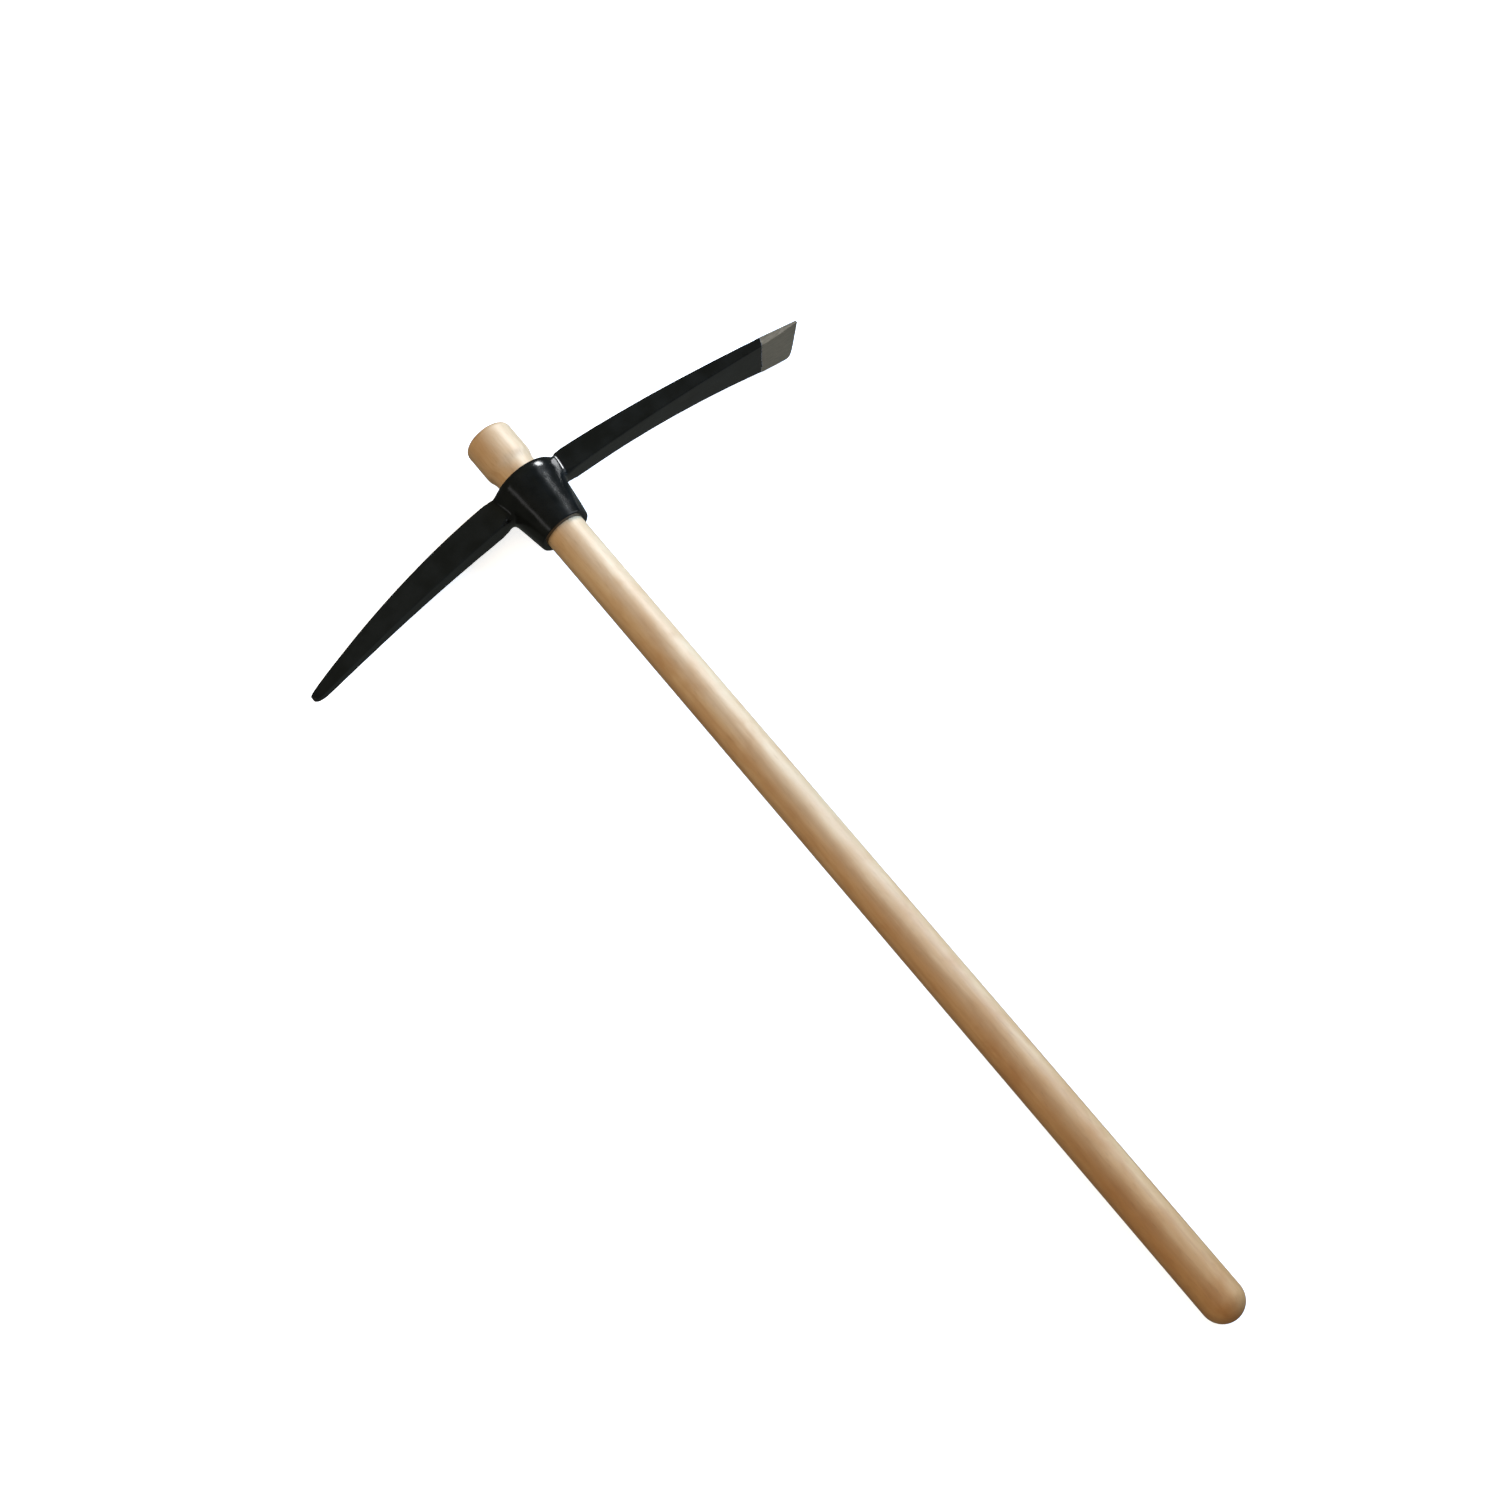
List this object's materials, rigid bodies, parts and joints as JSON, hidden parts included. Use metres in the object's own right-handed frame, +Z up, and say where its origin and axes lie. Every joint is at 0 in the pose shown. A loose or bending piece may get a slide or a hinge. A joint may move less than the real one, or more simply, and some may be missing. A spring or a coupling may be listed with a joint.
{
  "type": "pick mattock",
  "caption": "Pick mattock: a curved forged steel head with a square pick point and a flared chisel blade, slipped over a round wooden handle through a tapered eye.",
  "frame": {"origin": "Centre of the bounding box in X and Y, at the lowest point in Z: the tool lies on its side on Z = 0 and touches it at the eye, at the grip end and at the blade's lower corner.", "axes": "+X towards the blade's cutting edge, -X towards the pick point, +Y along the handle from the grip to the head end, +Z up across the flat of the arms. The handle rises 0.955 degrees towards +Y and the head leans 1.2 degrees down towards +X, which is how the tool rests."},
  "size_m": [0.4972, 0.9002, 0.062],
  "materials": {
    "beech_wood": "smooth turned pale hardwood, lightly varnished, satin",
    "black_paint": "glossy black paint over forged steel, with bare ground steel along the blade's edge"
  },
  "bodies": {
    "handle_body": {"handle": "beech_wood"},
    "head_body": {"pick_mattock_head": "black_paint"}
  },
  "joints": [
    {"name": "head_slide", "type": "slide", "parent": "handle_body", "child": "head_body", "axis": [0, -0.9999, -0.0167], "range_m": [0, 0.86]}
  ]
}
